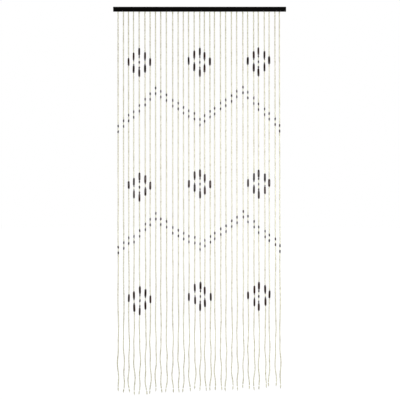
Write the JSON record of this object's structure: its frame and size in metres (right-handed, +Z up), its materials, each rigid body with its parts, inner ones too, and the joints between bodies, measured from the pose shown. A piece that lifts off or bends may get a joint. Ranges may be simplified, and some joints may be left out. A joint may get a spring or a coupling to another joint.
{
  "type": "bead curtain with head rail",
  "caption": "Door curtain of threaded wooden beads hanging in strings from a black wooden head rail, with dark beads set in diamonds and zigzags.",
  "frame": {"origin": "middle of the head rail's flat back face, where it lies against the wall", "axes": "+X along the rail to the right seen from the front, +Y to the wall, +Z up, so the strings hang towards -Z"},
  "size_m": [0.9, 0.014, 2.02],
  "materials": {
    "rail_wood": "black stained wood, satin",
    "natural_bead": "pale turned wood, lightly lacquered",
    "dark_bead": "dark brown stained turned wood, lacquered",
    "cord": "twisted off-white cord"
  },
  "bodies": {
    "root": {"head_rail": "rail_wood", "bead_strings": "natural_bead"}
  },
  "joints": []
}
